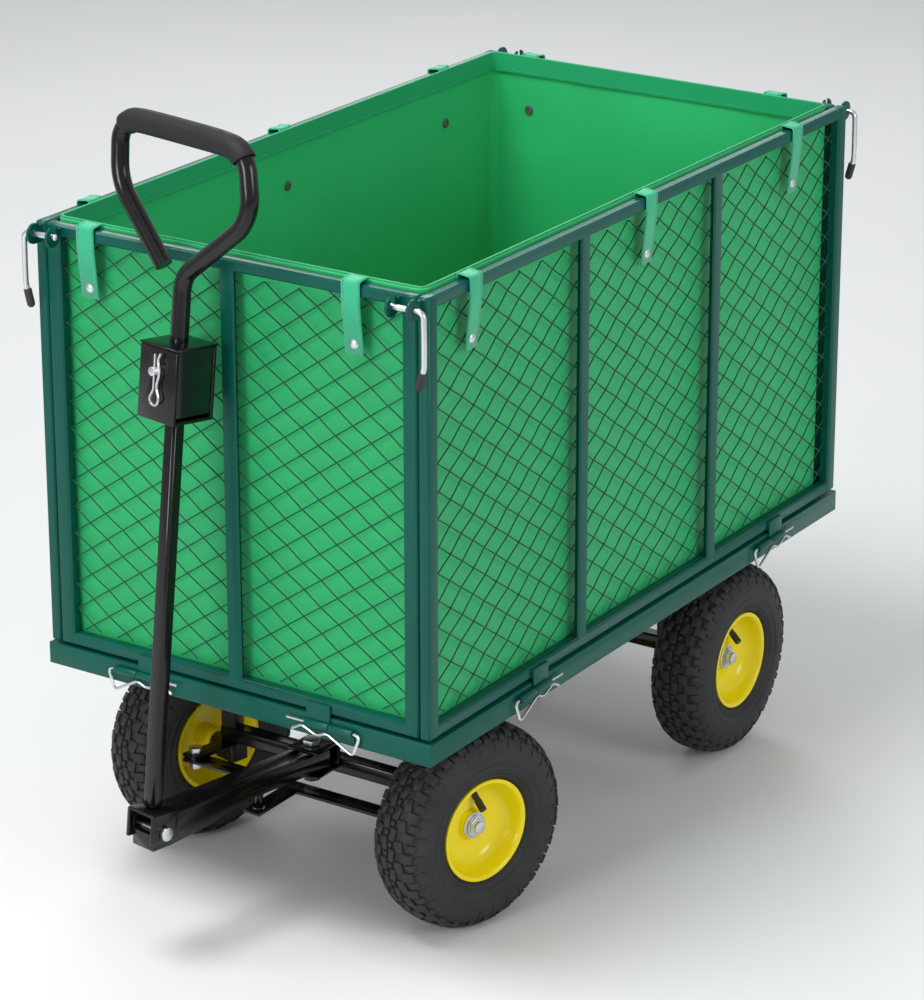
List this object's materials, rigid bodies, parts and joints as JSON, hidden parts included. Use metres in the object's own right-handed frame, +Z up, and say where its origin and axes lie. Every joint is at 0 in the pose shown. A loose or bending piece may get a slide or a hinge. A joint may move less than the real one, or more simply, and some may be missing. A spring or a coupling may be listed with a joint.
{
  "type": "garden cart",
  "caption": "Four-wheeled garden cart with mesh sides that fold down, a fabric liner, steered front wheels and a pull handle that hinges on the tongue.",
  "frame": {"origin": "on the ground under the middle of the whole cart's box", "axes": "+X forward to the tongue, +Y the cart's left, +Z up"},
  "size_m": [1.1366, 0.5744, 1.0081],
  "materials": {
    "green_frame": "dark teal-green powder coat",
    "green_mesh": "dark green coated welded mesh",
    "black_steel": "black satin paint",
    "foam": "black closed-cell foam",
    "rubber": "dark grey moulded rubber",
    "yellow_rim": "bright yellow gloss paint",
    "zinc": "bright zinc plate",
    "liner": "green woven polymer fabric"
  },
  "bodies": {
    "cart": {"bed_frame": "green_frame", "hairpin_left_front": "zinc", "hairpin_left_back": "zinc", "hairpin_right_front": "zinc", "hairpin_right_back": "zinc", "hairpin_front_left": "zinc", "hairpin_front_right": "zinc", "hairpin_rear_left": "zinc", "hairpin_rear_right": "zinc", "bed_floor": "green_mesh", "cross_front": "black_steel", "cross_rear": "black_steel", "leg_front_left": "black_steel", "leg_front_right": "black_steel", "leg_rear_left": "black_steel", "leg_rear_right": "black_steel", "front_beam": "black_steel", "rear_axle": "black_steel", "axle_nut_rear_left": "zinc", "axle_nut_rear_right": "zinc", "pivot_bracket": "black_steel", "kingbolt": "zinc", "panel_front": "green_frame", "mesh_front": "green_mesh", "panel_rear": "green_frame", "mesh_rear": "green_mesh", "liner": "liner"},
    "knuckle_left": {"knuckle_left": "black_steel", "tie_bolt_left": "zinc", "axle_nut_front_left": "zinc"},
    "knuckle_right": {"knuckle_right": "black_steel", "tie_bolt_right": "zinc", "axle_nut_front_right": "zinc"},
    "tie_bar": {"tie_bar": "black_steel"},
    "tongue": {"tongue": "black_steel", "fork_bolt": "zinc"},
    "handle": {"pole_foot": "black_steel", "pole": "black_steel", "tow_clevis": "black_steel", "handle_box": "black_steel", "handle_loop": "black_steel", "handle_grip": "foam", "clevis_pin": "zinc", "r_clip": "zinc"},
    "wheel_front_left": {"tyre_front_left": "rubber", "rim_front_left": "yellow_rim"},
    "wheel_front_right": {"tyre_front_right": "rubber", "rim_front_right": "yellow_rim"},
    "wheel_rear_left": {"tyre_rear_left": "rubber", "rim_rear_left": "yellow_rim"},
    "wheel_rear_right": {"tyre_rear_right": "rubber", "rim_rear_right": "yellow_rim"},
    "side_left": {"panel_left": "green_frame", "mesh_left": "green_mesh"},
    "side_right": {"panel_right": "green_frame", "mesh_right": "green_mesh"},
    "latch_left_front": {"latch_left_front": "zinc"},
    "latch_left_rear": {"latch_left_rear": "zinc"},
    "latch_right_front": {"latch_right_front": "zinc"},
    "latch_right_rear": {"latch_right_rear": "zinc"}
  },
  "joints": [
    {"name": "steer", "type": "hinge", "parent": "cart", "child": "tongue", "pos_m": [0.28225, 0, 0.17018], "axis": [0, 0, 1], "range_deg": [-10.5, 29.5]},
    {"name": "steer_left", "type": "hinge", "parent": "cart", "child": "knuckle_left", "pos_m": [0.24225, 0.15, 0.12918], "axis": [0, 0, 1], "range_deg": [-15.75, 44.25]},
    {"name": "steer_right", "type": "hinge", "parent": "cart", "child": "knuckle_right", "pos_m": [0.24225, -0.15, 0.12918], "axis": [0, 0, 1], "range_deg": [-15.75, 44.25]},
    {"name": "tie_bar_pivot", "type": "hinge", "parent": "knuckle_left", "child": "tie_bar", "pos_m": [0.3004, 0.13523, 0.13658], "axis": [0, 0, 1], "range_deg": [-44.25, 15.75]},
    {"name": "handle_pitch", "type": "hinge", "parent": "tongue", "child": "handle", "pos_m": [0.54372, -0.04376, 0.17055], "axis": [0.165, 0.9863, 0], "range_deg": [0, 105]},
    {"name": "spin_front_left", "type": "hinge", "parent": "knuckle_left", "child": "wheel_front_left", "pos_m": [0.25751, 0.21009, 0.12918], "axis": [0.2462, 0.9692, 0], "continuous": true},
    {"name": "spin_front_right", "type": "hinge", "parent": "knuckle_right", "child": "wheel_front_right", "pos_m": [0.22698, -0.21009, 0.12918], "axis": [0.2462, 0.9692, 0], "continuous": true},
    {"name": "spin_rear_left", "type": "hinge", "parent": "cart", "child": "wheel_rear_left", "pos_m": [-0.34775, 0.212, 0.12918], "axis": [0, 1, 0], "continuous": true},
    {"name": "spin_rear_right", "type": "hinge", "parent": "cart", "child": "wheel_rear_right", "pos_m": [-0.34775, -0.212, 0.12918], "axis": [0, 1, 0], "continuous": true},
    {"name": "fold_left", "type": "hinge", "parent": "cart", "child": "side_left", "pos_m": [-0.05275, 0.2829, 0.30518], "axis": [-1, 0, 0], "range_deg": [0, 90]},
    {"name": "fold_right", "type": "hinge", "parent": "cart", "child": "side_right", "pos_m": [-0.05275, -0.2829, 0.30518], "axis": [1, 0, 0], "range_deg": [0, 90]},
    {"name": "draw_latch_left_front", "type": "slide", "parent": "side_left", "child": "latch_left_front", "axis": [0, 1, 0], "range_m": [0, 0.035]},
    {"name": "draw_latch_left_rear", "type": "slide", "parent": "side_left", "child": "latch_left_rear", "axis": [0, 1, 0], "range_m": [0, 0.035]},
    {"name": "draw_latch_right_front", "type": "slide", "parent": "side_right", "child": "latch_right_front", "axis": [0, -1, 0], "range_m": [0, 0.035]},
    {"name": "draw_latch_right_rear", "type": "slide", "parent": "side_right", "child": "latch_right_rear", "axis": [0, -1, 0], "range_m": [0, 0.035]}
  ],
  "couplings": [
    {"joint": "steer_left", "follows": "steer", "ratio": 1.5},
    {"joint": "steer_right", "follows": "steer", "ratio": 1.5},
    {"joint": "tie_bar_pivot", "follows": "steer", "ratio": -1.5}
  ]
}
